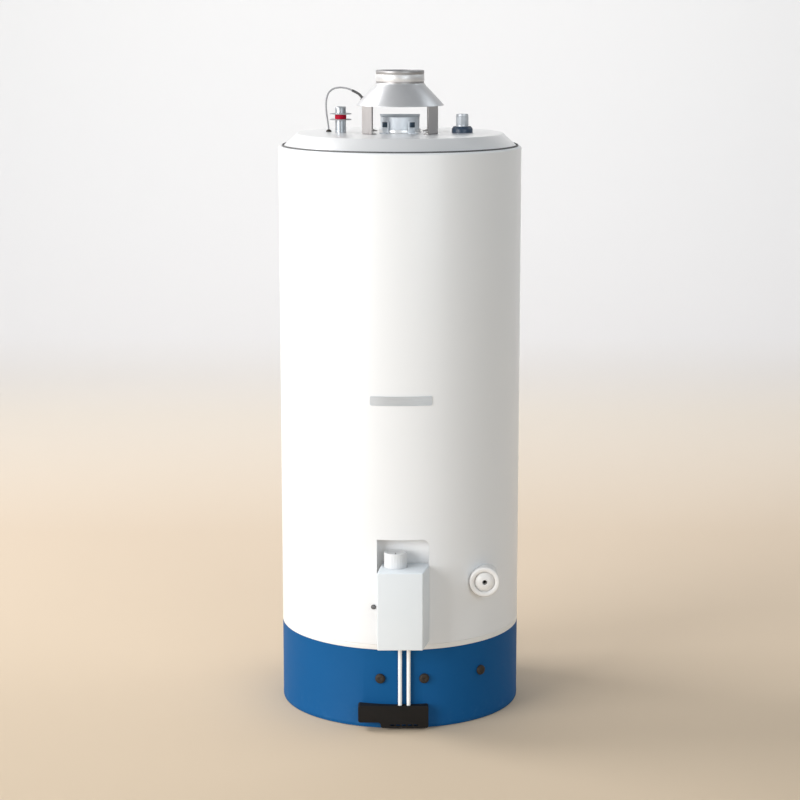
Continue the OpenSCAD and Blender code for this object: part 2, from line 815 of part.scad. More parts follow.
module hood_cone() {
    top = cone_z + cone_h;
    color("lightgray") rotate_extrude($fn = 128) polygon([
        [hood_r - 1.2, cone_z], [hood_r, cone_z], [spigot_r, top], [spigot_r, top + 1],
        [spigot_r - 1.2, top + 1], [spigot_r - 1.2, top - 0.6]
    ]);
}

module hood_spigot() {
    color("darkgray") pipe(spigot_r - 0.7, spigot_r - 1.5, spigot_z, spigot_z + spigot_h);
}

// Sleeve round the spigot, on which the flue pipe seats
module spigot_band() {
    color("#d9d5d6") pipe(spigot_r, spigot_r - 0.65, spigot_z + 4, spigot_z + 18);
}

module hood_legs() {
    color("#b0a8a5") for (a = [-leg_a, leg_a, 180 - leg_a, 180 + leg_a]) rotate([0, 0, a])
        translate([-leg_w / 2, -hood_r + 0.2, lid_z]) {
            cube([leg_w, 1.5, cone_z - lid_z]);
            translate([0, 1.4, 0]) cube([leg_w, 12, 1.5]);
        }
}

// Shallow cone under the spigot that turns a down-draught aside
module hood_deflector() {
    color("darkgray") {
        rotate_extrude() polygon([[0, cone_z + 17], [52, cone_z + 9], [52, cone_z + 10.2], [0, cone_z + 18.2]]);
        for (a = [0, 120, 240]) rotate([0, 0, a]) translate([-4, -spigot_r + 0.6, cone_z + 9.4]) cube([8, 1, 33.2]);
    }
}

// Disc thermostat that watches for spilled flue gas, on the hood's left flank and a little back
module spill_sensor() {
    slope = atan2(cone_h, hood_r - spigot_r);
    mid_r = hood_r - (hood_r - spigot_r) * 10 / cone_h;
    color("dimgray") rotate([0, 0, -22]) translate([-mid_r, 0, cone_z + 10])
        rotate([0, slope - 90, 0]) translate([0, 0, 0.4]) {
        translate([-5, -9, 0]) cube([10, 18, 1]);
        cylinder(r = 5.5, h = 4);
        translate([0, 0, 4]) cylinder(r = 2.6, h = 2.4);
    }
}

// Stiff sheathed capillary from the sensor, over the hot outlet and down through the lid
lead_r = 1.9;

// Points on a level arc of radius r about the tank's axis, from azimuth a0 to a1 from the front
function level_arc(r, z, a0, a1, steps) = [
    for (i = [0:steps]) let (a = a0 + (a1 - a0) * i / steps) [r * sin(a), -r * cos(a), z]
];

lead_x = -236;                      // where the lead runs down inside the jacket
lead_y = 28;
lead_ring = norm([lead_x, lead_y]);

lead_route = concat(
    [
        [-79.6, 32.1, 1267.2], [-83.9, 33.9, 1272.2], [-90, 35.5, 1276], [-99, 37.5, 1280.5],
        [-108, 38.5, 1284], [-118, 39, 1286], [-128, 38.8, 1286], [-138, 38, 1283.5],
        [-146, 36.5, 1277.5], [-151, 34.5, 1267], [-153, 32.5, 1252], [-152, 30.5, 1234],
        [-149.5, 29, 1216], [-147.6, 28, 1200], [-148, 28, 1184], [-151, 28, 1171],
        [-160, 28, 1163], [-175, 28, 1160], [-219, 28, 1160], [-230, 28, 1157], [lead_x, lead_y, 1146],
        [lead_x, lead_y, 1120], [lead_x, lead_y, 190]
    ],
    level_arc(lead_ring, 177, -90 - atan(lead_y / -lead_x), 0, 28),
    [[7, -237.4, 179], [9, -237, 186], [9, -237, lead_block_z - 0.1]]
);

// The spark lead drops from the electrode, leaves by the door and rises to the igniter
spark_route = [
    [38, -96, 51.8], [38, -96, 34], [38, -98.5, 28.5], [38, -104, 26], [38, -208, 26], [38, -216, 24.5],
    [36.5, -223, 19], [31, -227.5, 16], [22, -229, 16], [-42, -228.5, 16], [-50, -227, 18],
    [-53.7, -226, 26], [-53.7, -226, 120], [-53.7, -226, igniter_z - 5.6]
];

function unit(v) = v / norm(v);
function along(route, i) = unit(route[min(i + 1, len(route) - 1)] - route[max(i - 1, 0)]);

// Round tube swept along a route, closed at its ends. The route never runs parallel to aside.
module swept_tube(route, r, sides, aside) {
    n = len(route);
    points = [
        for (i = [0:n - 1]) let (t = along(route, i), u = unit(cross(t, aside)), v = cross(t, u))
            for (k = [0:sides - 1]) route[i] + r * cos(360 * k / sides) * u + r * sin(360 * k / sides) * v
    ];
    walls = [
        for (i = [0:n - 2], k = [0:sides - 1])
            [i * sides + k, i * sides + (k + 1) % sides, (i + 1) * sides + (k + 1) % sides, (i + 1) * sides + k]
    ];
    first = [for (k = [sides - 1:-1:0]) k];
    last = [for (k = [0:sides - 1]) (n - 1) * sides + k];
    polyhedron(points = points, faces = concat([first], walls, [last]), convexity = 6);
}

module sensor_lead() {
    color("gray") swept_tube(lead_route, lead_r, 10, [1, 1, 0]);
}

base_pan();
chamber_wall();
burner_door();
door_screws();
sight_shutter();
burner_head();
mixing_tube();
air_shutter();
injector();
burner_bracket();
gas_feed_tube();
pilot_feed_tube();
pilot_burner();
spark_electrode();
spark_lead();
thermocouple();
gas_valve_body();
valve_spindle();
control_knob();
valve_cover();
valve_recess_pan();
thermostat_probe();
igniter_body();
igniter_button();
tank_shell();
tank_top_head();
tank_bottom_head();
flue_tube();
flue_baffle();
flue_clips();
clip_screws();
insulation();
jacket();
badge_plate();
lid();
lid_seal();
trim_ring();
skirt();
skirt_plugs();
access_cover();
cold_nipple();
cold_collar();
dip_tube();
hot_nipple();
hot_gasket();
hot_tail();
anode_rod();
anode_cap();
drain_nipple();
drain_body();
drain_wheel();
drain_jumper();
drain_shroud();
hood_cone();
hood_spigot();
spigot_band();
hood_legs();
hood_deflector();
spill_sensor();
sensor_lead();
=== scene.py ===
# Tank water heater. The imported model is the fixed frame, and the pieces below dress it.
# Metres in Blender, millimetres in the settings; +Z is up and the front faces -Y.
import json
import math

import bpy
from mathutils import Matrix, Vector


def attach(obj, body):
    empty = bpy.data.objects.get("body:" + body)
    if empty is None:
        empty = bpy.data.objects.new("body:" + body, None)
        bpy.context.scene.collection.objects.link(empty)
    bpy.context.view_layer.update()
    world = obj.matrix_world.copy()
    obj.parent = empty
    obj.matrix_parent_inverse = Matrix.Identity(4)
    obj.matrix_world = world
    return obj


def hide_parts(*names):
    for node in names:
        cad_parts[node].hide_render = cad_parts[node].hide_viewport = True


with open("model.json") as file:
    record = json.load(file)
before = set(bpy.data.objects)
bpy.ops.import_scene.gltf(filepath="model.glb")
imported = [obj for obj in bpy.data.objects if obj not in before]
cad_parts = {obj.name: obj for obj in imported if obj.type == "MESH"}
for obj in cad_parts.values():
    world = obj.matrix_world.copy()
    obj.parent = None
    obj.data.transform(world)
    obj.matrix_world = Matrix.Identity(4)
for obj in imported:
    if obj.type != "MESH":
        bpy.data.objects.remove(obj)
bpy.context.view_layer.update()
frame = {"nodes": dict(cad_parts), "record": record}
cadNodes = frame["nodes"]
mm = 0.001


# small tools for modelling

def deselectAll():
    if bpy.context.mode != "OBJECT":
        bpy.ops.object.mode_set(mode="OBJECT")
    bpy.ops.object.select_all(action="DESELECT")


def makeActive(piece):
    deselectAll()
    piece.select_set(True)
    bpy.context.view_layer.objects.active = piece


def editAll(piece):
    makeActive(piece)
    bpy.ops.object.mode_set(mode="EDIT")
    bpy.ops.mesh.select_all(action="SELECT")


def applyPlace(piece):
    makeActive(piece)
    bpy.ops.object.transform_apply(location=True, rotation=True, scale=True)


def tidyMesh(piece):
    editAll(piece)
    bpy.ops.mesh.remove_doubles(threshold=0.00001)
    bpy.ops.mesh.normals_make_consistent(inside=False)
    bpy.ops.object.mode_set(mode="OBJECT")


def applyModifier(piece, kind, **settings):
    modifier = piece.modifiers.new(kind.lower(), kind)
    for key, value in settings.items():
        setattr(modifier, key, value)
    makeActive(piece)
    bpy.ops.object.modifier_apply(modifier=modifier.name)


def roundEdges(piece, width, segments=3, angle=40):
    applyModifier(piece, "BEVEL", width=width * mm, segments=segments, limit_method="ANGLE",
                  angle_limit=math.radians(angle), harden_normals=False)


def combine(piece, operation, *others):
    for other in others:
        applyModifier(piece, "BOOLEAN", operation=operation, solver="EXACT", object=other)
        bpy.data.objects.remove(other)


def cutAway(piece, *cutters):
    combine(piece, "DIFFERENCE", *cutters)


def addTo(piece, *others):
    combine(piece, "UNION", *others)


def arcRings(centre, radius, start, end, steps):
    # rings (radius, height) along an arc, its angles in degrees from outwards to up
    angles = [math.radians(start + (end - start) * i / steps) for i in range(steps + 1)]
    return [(centre[0] + radius * math.cos(a), centre[1] + radius * math.sin(a)) for a in angles]


def turned(name, rings, at=(0, 0, 0), segments=96, solid=False):
    # a ring is extruded and scaled from one (radius, height) to the next; solid fills both ends
    deselectAll()
    centre = Vector(at) * mm
    start = rings[0]
    bpy.ops.mesh.primitive_circle_add(vertices=segments, radius=start[0] * mm,
                                      location=centre + Vector((0, 0, start[1] * mm)))
    piece = bpy.context.object
    piece.name = name
    applyPlace(piece)
    editAll(piece)
    if solid:
        bpy.ops.mesh.edge_face_add()
    last = start
    for ring in list(rings[1:]) + ([] if solid else [start]):
        bpy.ops.mesh.extrude_edges_move(
            TRANSFORM_OT_translate={"value": (0, 0, (ring[1] - last[1]) * mm)})
        k = ring[0] / last[0]
        bpy.ops.transform.resize(value=(k, k, 1), center_override=centre)
        last = ring
    if solid:
        bpy.ops.mesh.edge_face_add()
    tidyMesh(piece)
    return piece


def block(name, low, high, edge=0):
    deselectAll()
    low, high = Vector(low) * mm, Vector(high) * mm
    bpy.ops.mesh.primitive_cube_add(size=1, location=(low + high) / 2, scale=high - low)
    piece = bpy.context.object
    piece.name = name
    applyPlace(piece)
    if edge:
        roundEdges(piece, edge)
    return piece


def rod(name, at, radius, low, high, segments=48):
    deselectAll()
    bpy.ops.mesh.primitive_cylinder_add(
        vertices=segments, radius=radius * mm, depth=(high - low) * mm,
        location=(at[0] * mm, at[1] * mm, (low + high) / 2 * mm))
    piece = bpy.context.object
    piece.name = name
    applyPlace(piece)
    return piece


def rodsAround(name, centre, reach, count, radius, low, high, segments):
    # upright rods spaced evenly round a centre, as one cutter
    rods = []
    for i in range(count):
        a = 2 * math.pi * i / count
        at = (centre[0] + reach * math.cos(a), centre[1] + reach * math.sin(a))
        rods.append(rod(name, at, radius, low, high, segments))
    return joined(name, *rods)


def turnTo(piece, angles=(0, 0, 0), at=(0, 0, 0)):
    # turns a piece about the origin by degrees, then carries it to a place in millimetres
    piece.rotation_euler = [math.radians(a) for a in angles]
    piece.location = Vector(at) * mm
    applyPlace(piece)
    return piece


def faceFront(piece, at=(0, 0, 0)):
    # what stood on +Z now points to the front
    return turnTo(piece, (90, 0, 0), at)


def copyOf(piece, name):
    twin = piece.copy()
    twin.data = piece.data.copy()
    twin.name = name
    bpy.context.scene.collection.objects.link(twin)
    return twin


def joined(name, *pieces):
    deselectAll()
    for piece in pieces:
        piece.select_set(True)
    bpy.context.view_layer.objects.active = pieces[0]
    bpy.ops.object.join()
    pieces[0].name = name
    return pieces[0]


def repeated(name, piece, places):
    # one copy of a piece for each (angles, place), joined
    copies = [turnTo(copyOf(piece, name), angles, at) for angles, at in places]
    bpy.data.objects.remove(piece)
    return joined(name, *copies)


def pickEdges(piece, test, depthOnly=False):
    # selects the edges whose two ends both pass the test, in millimetres, and stays in edit mode;
    # depthOnly leaves out the edges that don't run straight from front to back
    makeActive(piece)
    bpy.ops.object.mode_set(mode="EDIT")
    bpy.ops.mesh.select_mode(type="EDGE")
    bpy.ops.mesh.select_all(action="DESELECT")
    bpy.ops.object.mode_set(mode="OBJECT")
    points = [v.co / mm for v in piece.data.vertices]
    for edge in piece.data.edges:
        a, b = (points[i] for i in edge.vertices)
        straight = abs(a.x - b.x) + abs(a.z - b.z) < 0.001
        edge.select = test(a) and test(b) and (straight or not depthOnly)
    bpy.ops.object.mode_set(mode="EDIT")


def bevelPicked(width, segments):
    bpy.ops.mesh.bevel(offset=width * mm, segments=segments, affect="EDGES")
    bpy.ops.object.mode_set(mode="OBJECT")


def settle(piece, body, look, *replaced):
    # a finished piece gets its look, which is also its slot, and the body it rides on
    applyPlace(piece)
    bpy.ops.object.shade_smooth_by_angle(angle=math.radians(35))
    piece.data.materials.clear()
    piece.data.materials.append(finishes[look])
    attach(piece, body)
    if replaced:
        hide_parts(*replaced)
    return piece


# finishes: each is a ground colour with a second shade through it, uneven gloss and a fine surface

def finish(name, ground, shade, mottle=6, gloss=(0.35, 0.5), metal=0.0, grain=400, depth=0.05,
           stretch=(1, 1, 1), coat=0.0, shine=0.5, specks=None, scuffs=None):
    material = bpy.data.materials.new(name)
    material.use_nodes = True
    tree = material.node_tree
    shader = tree.nodes["Principled BSDF"]
    shader.inputs["Metallic"].default_value = metal
    shader.inputs["Coat Weight"].default_value = coat
    shader.inputs["Coat Roughness"].default_value = 0.12
    shader.inputs["Specular IOR Level"].default_value = shine

    def add(kind, **values):
        node = tree.nodes.new(kind)
        for key, value in values.items():
            if key in node.inputs:
                node.inputs[key].default_value = value
            else:
                setattr(node, key, value)
        return node

    place = add("ShaderNodeTexCoord")
    spread = add("ShaderNodeMapping")
    spread.inputs["Scale"].default_value = stretch
    tree.links.new(place.outputs["Object"], spread.inputs["Vector"])

    def noise(scale, detail, roughness=0.55):
        node = add("ShaderNodeTexNoise", Scale=scale, Detail=detail, Roughness=roughness)
        tree.links.new(spread.outputs["Vector"], node.inputs["Vector"])
        return node.outputs["Fac"]

    def mixed(share, first, second):
        node = add("ShaderNodeMix", data_type="RGBA")
        tree.links.new(share, node.inputs["Factor"])
        for socket, value in ((node.inputs[6], first), (node.inputs[7], second)):
            if isinstance(value, tuple):
                socket.default_value = (*value, 1)
            else:
                tree.links.new(value, socket)
        return node.outputs[2]

    def ranged(source, low, high, toLow, toHigh):
        node = add("ShaderNodeMapRange")
        for key, value in zip(("From Min", "From Max", "To Min", "To Max"), (low, high, toLow, toHigh)):
            node.inputs[key].default_value = value
        tree.links.new(source, node.inputs["Value"])
        return node.outputs["Result"]

    colour = mixed(ranged(noise(mottle, 4), 0.3, 0.7, 0, 1), ground, shade)
    if specks:  # colour, scale, share of the surface left clear
        spots = ranged(noise(specks[1], 6, 0.7), specks[2], specks[2] + 0.08, 0, 1)
        colour = mixed(spots, colour, specks[0])
    if scuffs:  # colour, height where they start, height where they are strongest
        split = add("ShaderNodeSeparateXYZ")
        tree.links.new(place.outputs["Object"], split.inputs["Vector"])
        rise = ranged(split.outputs["Z"], scuffs[1], scuffs[2], 0, 1)
        streaks = ranged(noise(60, 8, 0.7), 0.52, 0.72, 0, 0.5)
        both = add("ShaderNodeMath", operation="MULTIPLY")
        tree.links.new(rise, both.inputs[0])
        tree.links.new(streaks, both.inputs[1])
        colour = mixed(both.outputs[0], colour, scuffs[0])
    tree.links.new(colour, shader.inputs["Base Color"])
    tree.links.new(ranged(noise(mottle * 7, 2), 0, 1, *gloss), shader.inputs["Roughness"])
    bump = add("ShaderNodeBump", Strength=depth, Distance=0.001)
    tree.links.new(noise(grain, 3), bump.inputs["Height"])
    tree.links.new(bump.outputs["Normal"], shader.inputs["Normal"])
    return material


# a gloss range that crosses 0.275 shows as faint lines once the render is denoised
looks = {
    "galvanised": dict(ground=(0.62, 0.64, 0.66), shade=(0.70, 0.72, 0.74), mottle=70, gloss=(0.3, 0.5),
                       metal=0.45, grain=160, depth=0.04),
    "black_steel": dict(ground=(0.022, 0.02, 0.019), shade=(0.035, 0.031, 0.028), mottle=30,
                        gloss=(0.5, 0.7), grain=900, depth=0.15, specks=((0.12, 0.09, 0.07), 90, 0.66)),
    "screw_zinc": dict(ground=(0.55, 0.55, 0.54), shade=(0.66, 0.65, 0.6), mottle=120, gloss=(0.285, 0.4),
                       metal=1.0, grain=900, depth=0.05),
    "burner_steel": dict(ground=(0.45, 0.46, 0.48), shade=(0.56, 0.57, 0.58), mottle=25, gloss=(0.35, 0.55),
                         metal=0.9, grain=500, depth=0.08, specks=((0.25, 0.2, 0.22), 40, 0.6)),
    "brass": dict(ground=(0.62, 0.43, 0.16), shade=(0.7, 0.52, 0.24), mottle=50, gloss=(0.285, 0.38),
                  metal=1.0, grain=700, depth=0.04, stretch=(1, 1, 6)),
    "tube_white": dict(ground=(0.92, 0.925, 0.925), shade=(0.88, 0.885, 0.885), mottle=30, gloss=(0.3, 0.42),
                       grain=600, depth=0.02, coat=0.3),
    "ceramic_white": dict(ground=(0.84, 0.82, 0.76), shade=(0.8, 0.77, 0.7), mottle=60, gloss=(0.285, 0.3),
                          grain=500, depth=0.03, coat=0.5),
    "lead_grey": dict(ground=(0.30, 0.30, 0.31), shade=(0.38, 0.38, 0.39), mottle=80, gloss=(0.4, 0.55),
                      grain=1200, depth=0.06),
    "copper": dict(ground=(0.6, 0.29, 0.16), shade=(0.5, 0.24, 0.15), mottle=40, gloss=(0.285, 0.45),
                   metal=1.0, grain=600, depth=0.05),
    "die_cast": dict(ground=(0.5, 0.51, 0.52), shade=(0.57, 0.58, 0.59), mottle=40, gloss=(0.42, 0.58),
                     metal=0.8, grain=900, depth=0.2),
    "knob_plastic": dict(ground=(0.70, 0.705, 0.71), shade=(0.73, 0.735, 0.74), mottle=20, gloss=(0.45, 0.55),
                         grain=1500, depth=0.04),
    "cover_plastic": dict(ground=(0.735, 0.775, 0.805), shade=(0.75, 0.79, 0.82), mottle=8, gloss=(0.5, 0.6),
                          grain=1500, depth=0.03, shine=0.3),
    "recess_white": dict(ground=(0.8, 0.8, 0.8), shade=(0.77, 0.77, 0.77), mottle=10, gloss=(0.35, 0.45),
                         grain=700, depth=0.03, coat=0.2),
    "igniter_plastic": dict(ground=(0.09, 0.09, 0.095), shade=(0.12, 0.12, 0.12), mottle=60,
                            gloss=(0.35, 0.5), grain=1500, depth=0.08),
    "button_plastic": dict(ground=(0.14, 0.14, 0.145), shade=(0.18, 0.18, 0.18), mottle=60,
                           gloss=(0.285, 0.4), grain=1500, depth=0.05),
    "tank_steel": dict(ground=(0.06, 0.075, 0.1), shade=(0.08, 0.095, 0.12), mottle=12, gloss=(0.3, 0.5),
                       grain=500, depth=0.08, specks=((0.2, 0.11, 0.06), 20, 0.68)),
    "flue_steel": dict(ground=(0.68, 0.72, 0.76), shade=(0.74, 0.77, 0.80), mottle=14, gloss=(0.35, 0.5),
                       metal=0.1, grain=400, depth=0.03, specks=((0.5, 0.48, 0.47), 60, 0.72)),
    "lid_white": dict(ground=(0.88, 0.88, 0.88), shade=(0.87, 0.87, 0.87), mottle=5, gloss=(0.285, 0.32),
                      metal=0.42, grain=300, depth=0.001, coat=0.1),
    "jacket_white": dict(ground=(0.83, 0.84, 0.85), shade=(0.82, 0.83, 0.84), mottle=5,
                         gloss=(0.3, 0.42), grain=450, depth=0.006, coat=0.15, shine=0.4),
    "screw_dark": dict(ground=(0.035, 0.06, 0.09), shade=(0.05, 0.075, 0.1), mottle=90, gloss=(0.3, 0.5),
                       metal=0.5, grain=900, depth=0.08),
    "foam": dict(ground=(0.72, 0.6, 0.3), shade=(0.62, 0.5, 0.24), mottle=60, gloss=(0.8, 0.95),
                 grain=500, depth=0.5),
    "badge": dict(ground=(0.60, 0.64, 0.69), shade=(0.66, 0.70, 0.74), mottle=40, gloss=(0.285, 0.38),
                  metal=0.5, grain=600, depth=0.04, stretch=(1, 1, 12)),
    "seal_grey": dict(ground=(0.09, 0.09, 0.09), shade=(0.13, 0.13, 0.13), mottle=50, gloss=(0.55, 0.7),
                      grain=1200, depth=0.12),
    "trim": dict(ground=(0.84, 0.825, 0.80), shade=(0.80, 0.785, 0.755), mottle=12, gloss=(0.35, 0.5),
                 grain=1200, depth=0.04),
    "skirt_blue": dict(ground=(0.003, 0.083, 0.24), shade=(0.004, 0.089, 0.255), mottle=6, gloss=(0.5, 0.58),
                       grain=450, depth=0.01, shine=0.12, scuffs=((0.04, 0.15, 0.30), 0.05, 0.0)),
    "rubber_brown": dict(ground=(0.022, 0.018, 0.015), shade=(0.038, 0.027, 0.019), mottle=90,
                         gloss=(0.55, 0.7), grain=1400, depth=0.1, shine=0.3),
    "cover_black": dict(ground=(0.011, 0.010, 0.009), shade=(0.014, 0.012, 0.011), mottle=20,
                        gloss=(0.5, 0.6), grain=1200, depth=0.06, shine=0.15),
    "collar_navy": dict(ground=(0.028, 0.05, 0.085), shade=(0.035, 0.06, 0.1), mottle=60, gloss=(0.3, 0.42),
                        grain=1500, depth=0.06),
    "dip_plastic": dict(ground=(0.85, 0.85, 0.83), shade=(0.8, 0.8, 0.77), mottle=20, gloss=(0.4, 0.5),
                        grain=1500, depth=0.05),
    "hot_steel": dict(ground=(0.36, 0.38, 0.4), shade=(0.44, 0.46, 0.48), mottle=60, gloss=(0.285, 0.42),
                      metal=0.6, grain=500, depth=0.05, stretch=(1, 1, 5)),
    "red_rubber": dict(ground=(0.50, 0.003, 0.028), shade=(0.43, 0.002, 0.024), mottle=70, gloss=(0.5, 0.6),
                       grain=1200, depth=0.05, shine=0.15),
    "anode": dict(ground=(0.42, 0.42, 0.42), shade=(0.5, 0.5, 0.5), mottle=40, gloss=(0.45, 0.65),
                  metal=0.8, grain=300, depth=0.15),
    "drain_white": dict(ground=(0.8, 0.79, 0.775), shade=(0.77, 0.755, 0.735), mottle=30, gloss=(0.32, 0.45),
                        grain=1500, depth=0.05),
    "hood_steel": dict(ground=(0.62, 0.62, 0.63), shade=(0.67, 0.67, 0.68), mottle=30, gloss=(0.34, 0.44),
                       metal=0.65, grain=500, depth=0.02, stretch=(1, 1, 0.3)),
    # spigot_steel: its dark grey, against the lighter band_steel sleeve of the same steel, is painted shade
    # for the bead at the top and the shadow under the sleeve
    "spigot_steel": dict(ground=(0.36, 0.35, 0.35), shade=(0.42, 0.405, 0.405), mottle=50, gloss=(0.36, 0.46),
                         metal=0.5, grain=500, depth=0.03),
    "band_steel": dict(ground=(0.72, 0.71, 0.71), shade=(0.77, 0.76, 0.76), mottle=40, gloss=(0.35, 0.45),
                       metal=0.4, grain=500, depth=0.02, stretch=(1, 1, 0.2)),
    # leg_steel: galvanised steel with painted shade; its grey-mauve is that steel's colour as seen in shade
    "leg_steel": dict(ground=(0.36, 0.335, 0.325), shade=(0.40, 0.375, 0.365), mottle=50, gloss=(0.45, 0.6),
                      metal=0.15, grain=500, depth=0.04, stretch=(1, 1, 0.2), shine=0.3),
    "sensor_black": dict(ground=(0.05, 0.05, 0.052), shade=(0.08, 0.08, 0.08), mottle=70, gloss=(0.35, 0.5),
                         grain=1400, depth=0.08),
}
finishes = {name: finish(name, **look) for name, look in looks.items()}
for part in frame["record"]["subparts"]:
    node = cadNodes[part["node"]]
    node.data.materials.clear()
    node.data.materials.append(finishes[part["material_slot"]])
print("finishes:", len(finishes))


def softCorner(before, corner, after, steps=5):
    # rings on a smooth bend from one point to the next, drawn towards the corner
    rings = []
    for i in range(steps + 1):
        t = i / steps
        rings.append(tuple((1 - t) ** 2 * a + 2 * t * (1 - t) * b + t * t * c
                           for a, b, c in zip(before, corner, after)))
    return rings


# jacket: one wrapped sheet with a rolled top, a window for the control and a seam at the back

jacket = dict(radius=250, sheet=1, low=177, high=1170, roll=5, segments=192,
              window=(-46.5, 187, 58, 396), corner=13, igniter=(-53.7, 0, 256), igniterHole=4.6,
              drain=(172.4, 0, 300), drainHole=24, seamWidth=18, rivets=9, rivetPitch=113)


def windowCutter():
    left, low, right, high = jacket["window"]
    cutter = block("windowCutter", (left, -280, low), (right, -200, high))
    pickEdges(cutter, lambda p: abs(p.x - right) < 0.1 and abs(p.z - high) < 0.1)
    bevelPicked(jacket["corner"], 10)
    return cutter


def buildJacket():
    r, low, high, roll = jacket["radius"], jacket["low"], jacket["high"], jacket["roll"]
    inner = r - jacket["sheet"]
    rings = [(r - 0.7, low), (r, low + 0.7)] + arcRings((r - roll, high - roll), roll, 0, 90, 8)
    rings += [(r - roll - 1.6, high), (r - roll - 1.6, high - 1)]
    rings += arcRings((r - roll, high - roll), roll - 1, 90, 0, 6) + [(inner, low)]
    shell = turned("jacketShell", rings, segments=jacket["segments"])
    igniterHole = faceFront(rod("igniterHole", (0, 0), jacket["igniterHole"], 200, 300), jacket["igniter"])
    drainHole = faceFront(rod("drainHole", (0, 0), jacket["drainHole"], 100, 300), jacket["drain"])
    cutAway(shell, windowCutter(), igniterHole, drainHole)
    settle(shell, "heater", "jacket_white", "jacket")

    half = jacket["seamWidth"] / 2
    strip = block("jacketSeam", (-half, r - 0.6, low + 1), (half, r + 1, high - roll - 2), 0.45)
    rings = [(3, 0), (3, 0.4)] + arcRings((0.4, 0.4), 2.4, 0, 80, 4)
    rivet = turned("seamRivet", rings, solid=True, segments=20)
    heights = [low + 40 + i * jacket["rivetPitch"] for i in range(jacket["rivets"])]
    rivets = repeated("seamRivets", rivet, [((-90, 0, 0), (0, r + 0.9, z)) for z in heights])
    settle(joined("jacketSeam", strip, rivets), "heater", "jacket_white")


buildJacket()
print("jacket")


# blank badge, bent to the jacket, with a raised border

badge = dict(low=(-60, 670.5), high=(64, 689.5), corner=3, border=1.6, back=250.02, field=250.75, front=251.2)


def badgePlate(name, inner, outer, inset):
    ring = turned(name, [(inner, 660), (outer, 660), (outer, 700), (inner, 700)], segments=384)
    (x0, z0), (x1, z1) = badge["low"], badge["high"]
    mould = block("badgeMould", (x0 + inset, -270, z0 + inset), (x1 - inset, -230, z1 - inset))
    pickEdges(mould, lambda p: True, depthOnly=True)
    bevelPicked(max(badge["corner"] - inset, 0.8), 5)
    combine(ring, "INTERSECT", mould)
    return ring


def buildBadge():
    plate = badgePlate("badgePlate", badge["back"], badge["front"], 0)
    cutAway(plate, badgePlate("badgeField", badge["field"], 252, badge["border"]))
    settle(plate, "heater", "badge", "badge_plate")


buildBadge()
print("badge")


# lid: dished pressing with an upstand round the flue, and the dark strip round its rim

lid = dict(flat=212, top=1196, rim=240, base=1170, sheet=1.2, collar=41,
           hot=(-122, 0), cold=(128, 0), anode=(0, 140), lead=(-147, 28),
           holes=dict(hot=11.6, cold=13.8, anode=18, lead=3.6))


def buildLid():
    top, flat, rim, base, t = (lid[k] for k in ("top", "flat", "rim", "base", "sheet"))
    collar = lid["collar"]
    foot = collar + 1.4
    rings = [(collar, top + 7.2), (collar + 0.4, top + 7.5), (foot - 0.4, top + 7.5), (foot, top + 7.1)]
    rings += arcRings((foot + 3, top + 3), 3, 180, 270, 5)
    rings += softCorner((flat - 1.6, top), (flat, top), (flat + 1.2, top - 1.1), 4)
    rings += softCorner((rim - 3, base + 2.8), (rim, base), (rim, base - 3), 5)
    rings += [(rim, base - 6), (rim - t, base - 6), (rim - t, base - 0.5)]
    rings += [(flat - 0.5, top - t), (foot + 3, top - t), (collar, top - t)]
    pressing = turned("lidPressing", rings, segments=192)
    for k, radius in lid["holes"].items():
        cutAway(pressing, rod("hole", lid[k], radius, top - 16, top + 14))
    settle(pressing, "heater", "lid_white", "lid")

    # dark grey strip in the gap under the lid's rim: a seal, whose dark grey is also painted shade for that
    # gap
    rings = [(240.1, 1164.2), (243.1, 1164.2), (243.3, 1169.6)] + arcRings((241.7, 1171.4), 1.6, 0, 180, 8)
    settle(turned("lidStrip", rings, segments=192), "heater", "seal_grey", "lid_seal")

    # anode cap, and the rubber grommet where the sensor's lead goes in
    rings = [(0.8, 1198.6), (13, 1198.9), (17.6, 1199.2), (19, 1198.9), (20.4, 1197.4), (21, 1196.05),
             (17.6, 1196.05), (17.6, 1190), (16, 1190), (16, 1196.4), (0.8, 1196.6)]
    settle(turned("anodeCap", rings, at=(*lid["anode"], 0), segments=64), "heater", "lid_white", "anode_cap")
    rings = [(2.0, 1192), (3.4, 1192), (3.4, 1195), (5.6, 1196), (5.8, 1197.2), (4.8, 1199), (3.0, 1200.6),
             (2.0, 1201)]
    x, y = lid["lead"]
    settle(turned("leadGrommet", rings, at=(x - 0.4, y, 0), segments=40), "heater", "rubber_brown")


buildLid()
print("lid")


# skirt and the ring that joins it to the jacket

skirt = dict(radius=250, low=1, high=166, opening=(-74, 22, 46, 48), plugs=(-9.2, 11.3, 41.3), plugHeight=106,
             vents=(140, 160, 180, 200, 220), ventHeight=44, ventRadius=10)


def aroundSkirt(name, piece, azimuths, height):
    # a piece that stood on +Z is copied to point outwards at each azimuth, counted from the front
    return repeated(name, piece, [((90, 0, azimuth), (0, 0, height)) for azimuth in azimuths])


